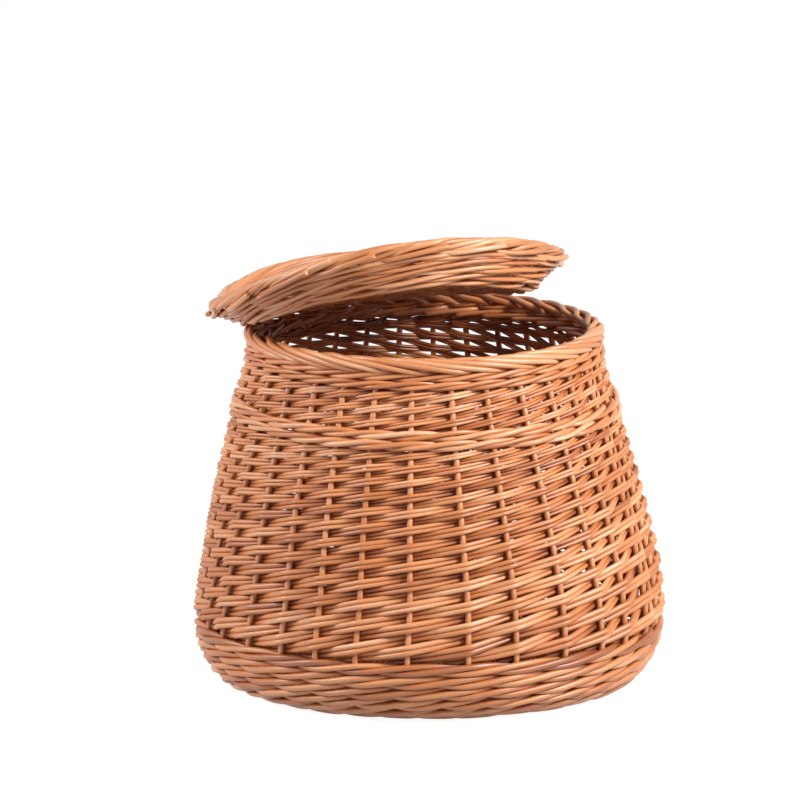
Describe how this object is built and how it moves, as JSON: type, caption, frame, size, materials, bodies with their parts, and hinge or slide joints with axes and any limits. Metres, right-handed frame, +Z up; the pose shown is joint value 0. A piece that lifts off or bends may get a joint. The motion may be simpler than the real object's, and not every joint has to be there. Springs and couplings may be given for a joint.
{
  "type": "laundry hamper",
  "caption": "Round bellied laundry hamper woven in buff willow, with waled foot, waist and rim, a rolled border, and a loose dished lid lying askew on the mouth.",
  "frame": {"origin": "on the floor, at the middle of the basket's foot, under the basket's axis", "axes": "+Z up along the basket's axis, -Y towards the viewer of the picture, +X to the viewer's right"},
  "size_m": [0.4726, 0.4726, 0.485],
  "materials": {
    "stakes": "satin",
    "siding": "satin",
    "waling": "satin",
    "border": "satin",
    "base": "satin",
    "base_sticks": "satin",
    "lid_weave": "satin",
    "lid_wall": "satin",
    "lid_border": "satin",
    "lid_sticks": "satin"
  },
  "bodies": {
    "basket": {"upsett_wale": "waling", "lower_siding": "siding", "waist_wale": "waling", "upper_siding": "siding", "top_wale": "waling", "border": "border", "base_weave": "base", "stake_01": "stakes", "stake_02": "stakes", "stake_03": "stakes", "stake_04": "stakes", "stake_05": "stakes", "stake_06": "stakes", "stake_07": "stakes", "stake_08": "stakes", "stake_09": "stakes", "stake_10": "stakes", "stake_11": "stakes", "stake_12": "stakes", "stake_13": "stakes", "stake_14": "stakes", "stake_15": "stakes", "stake_16": "stakes", "stake_17": "stakes", "stake_18": "stakes", "stake_19": "stakes", "stake_20": "stakes", "stake_21": "stakes", "stake_22": "stakes", "stake_23": "stakes", "stake_24": "stakes", "stake_25": "stakes", "stake_26": "stakes", "stake_27": "stakes", "stake_28": "stakes", "stake_29": "stakes", "stake_30": "stakes", "stake_31": "stakes", "stake_32": "stakes", "base_stick_01": "base_sticks", "base_stick_02": "base_sticks", "base_stick_03": "base_sticks", "base_stick_04": "base_sticks", "base_stick_05": "base_sticks", "base_stick_06": "base_sticks", "base_stick_07": "base_sticks", "base_stick_08": "base_sticks"},
    "lid": {"lid_weave": "lid_weave", "lid_wale": "lid_wall", "lid_border": "lid_border", "lid_stick_01": "lid_sticks", "lid_stick_02": "lid_sticks", "lid_stick_03": "lid_sticks", "lid_stick_04": "lid_sticks", "lid_stick_05": "lid_sticks", "lid_stick_06": "lid_sticks", "lid_stick_07": "lid_sticks", "lid_stick_08": "lid_sticks"}
  },
  "joints": [
    {"name": "lid_lift", "type": "slide", "parent": "basket", "child": "lid", "axis": [0, 0, 1], "range_m": [0, 0.25]}
  ]
}
